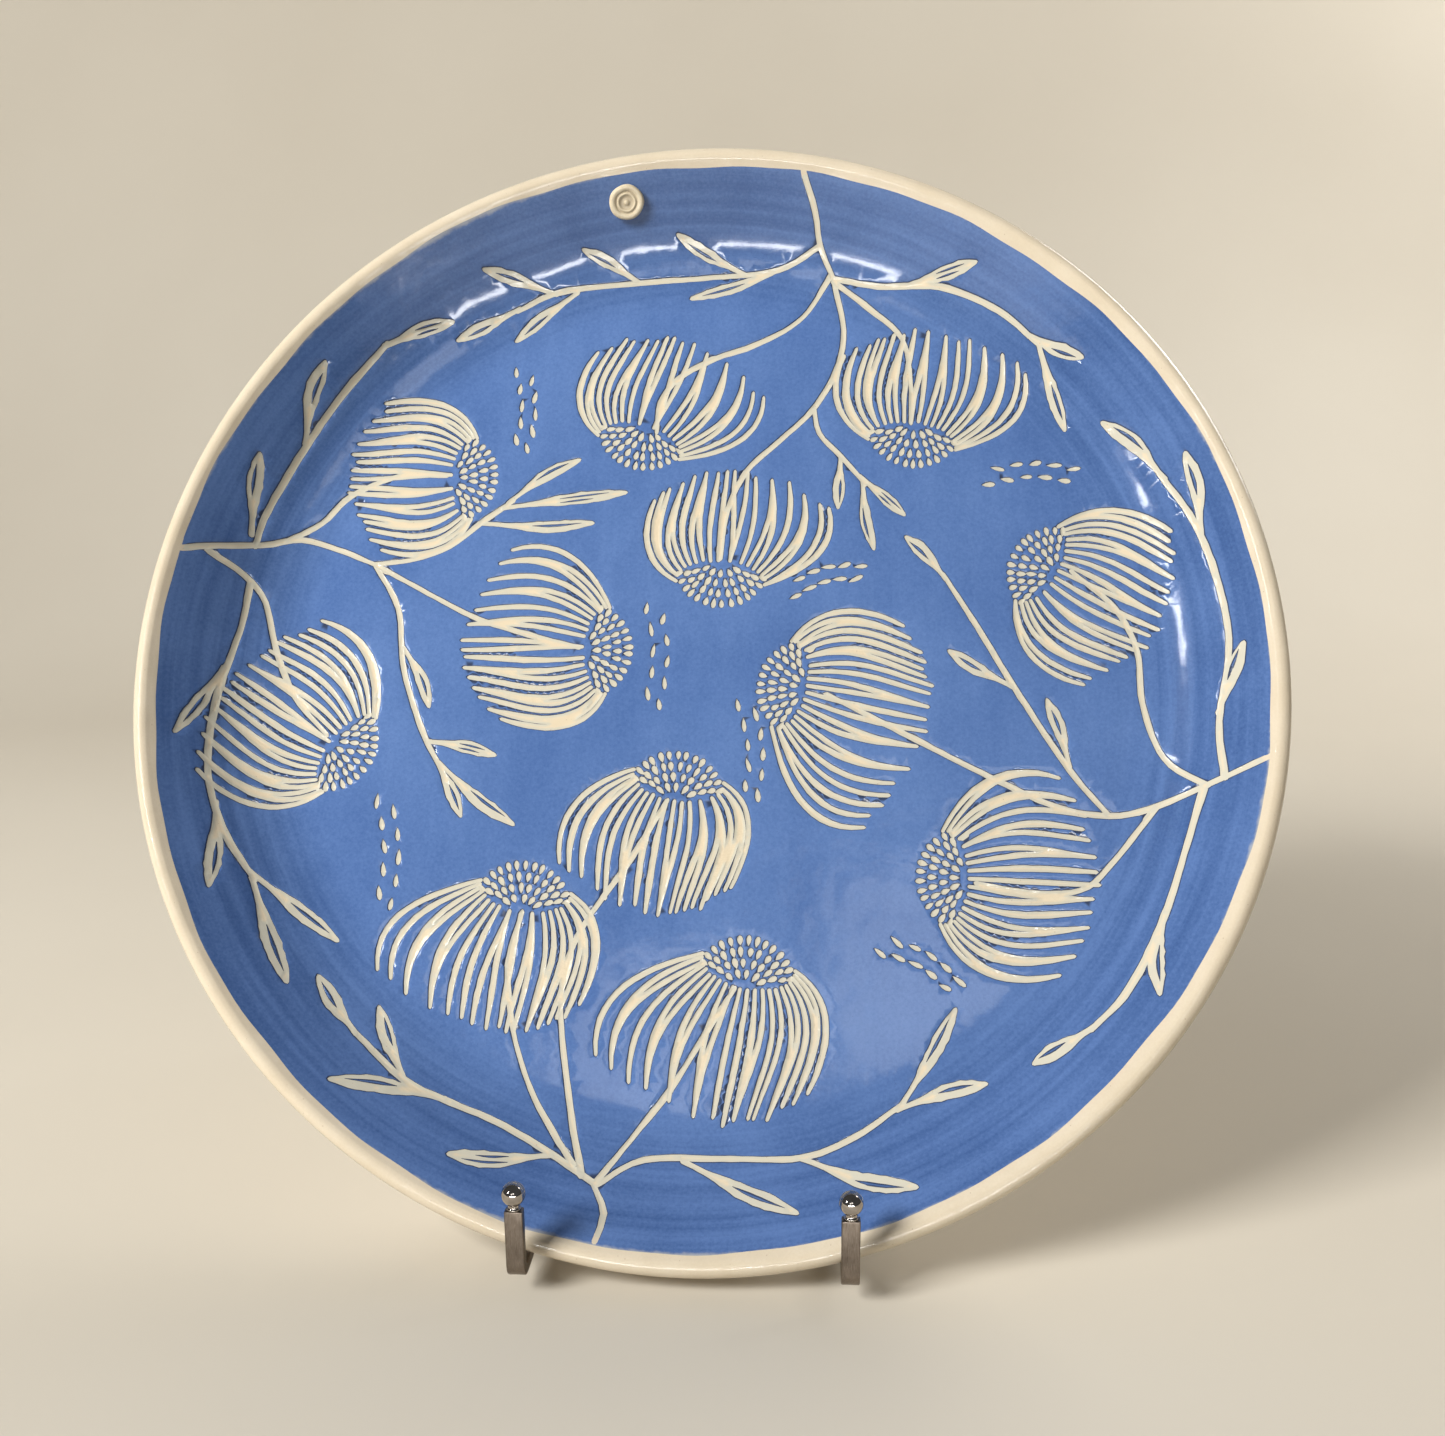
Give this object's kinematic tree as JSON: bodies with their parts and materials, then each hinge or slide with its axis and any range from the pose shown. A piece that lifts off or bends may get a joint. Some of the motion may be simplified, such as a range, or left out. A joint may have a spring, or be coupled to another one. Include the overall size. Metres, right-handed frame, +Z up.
{
  "type": "decorated plate on display easel",
  "caption": "Wide glazed ceramic plate, blue slip carved with flower sprays down to cream clay, leaning on a folding metal easel with ball-tipped hooks",
  "frame": {"origin": "on the table, under the middle of the bounding box", "axes": "+Z up; the face of the plate looks towards -Y and leans back; +X to the viewer's right"},
  "size_m": [0.4, 0.258, 0.3682],
  "materials": {
    "cream_clay": "clear glossy glaze over cream clay",
    "blue_slip": "painted slip under clear gloss glaze",
    "seal_clay": "thinly glazed clay",
    "brushed_nickel": "brushed nickel plate",
    "bright_nickel": "polished",
    "plain_steel": "zinc plated",
    "dark_rubber": "matt"
  },
  "bodies": {
    "stand_frame": {"left_leg_bar": "brushed_nickel", "right_leg_bar": "brushed_nickel", "left_hook_bar": "brushed_nickel", "right_hook_bar": "brushed_nickel", "lower_cross_bar": "brushed_nickel", "upper_cross_bar": "brushed_nickel", "left_hinge_ear": "brushed_nickel", "right_hinge_ear": "brushed_nickel", "left_ball_tip": "bright_nickel", "right_ball_tip": "bright_nickel", "hinge_bolt": "plain_steel", "hinge_nut": "plain_steel", "left_hinge_washer": "plain_steel", "right_hinge_washer": "plain_steel", "left_front_foot_cap": "dark_rubber", "right_front_foot_cap": "dark_rubber"},
    "rear_leg": {"rear_leg_bar": "brushed_nickel", "rear_leg_knuckle": "brushed_nickel", "rear_foot_cap": "dark_rubber"},
    "plate": {"clay_body": "cream_clay", "blue_slip_coat": "blue_slip", "maker_seal": "seal_clay"}
  },
  "joints": [
    {"name": "rear_leg_fold", "type": "hinge", "parent": "stand_frame", "child": "rear_leg", "pos_m": [0, 0.06225, 0.28676], "axis": [-1, 0, 0], "range_deg": [0, 37]},
    {"name": "plate_lift_off", "type": "slide", "parent": "stand_frame", "child": "plate", "axis": [0, 0.4226, 0.9063], "range_m": [0, 0.12]}
  ]
}
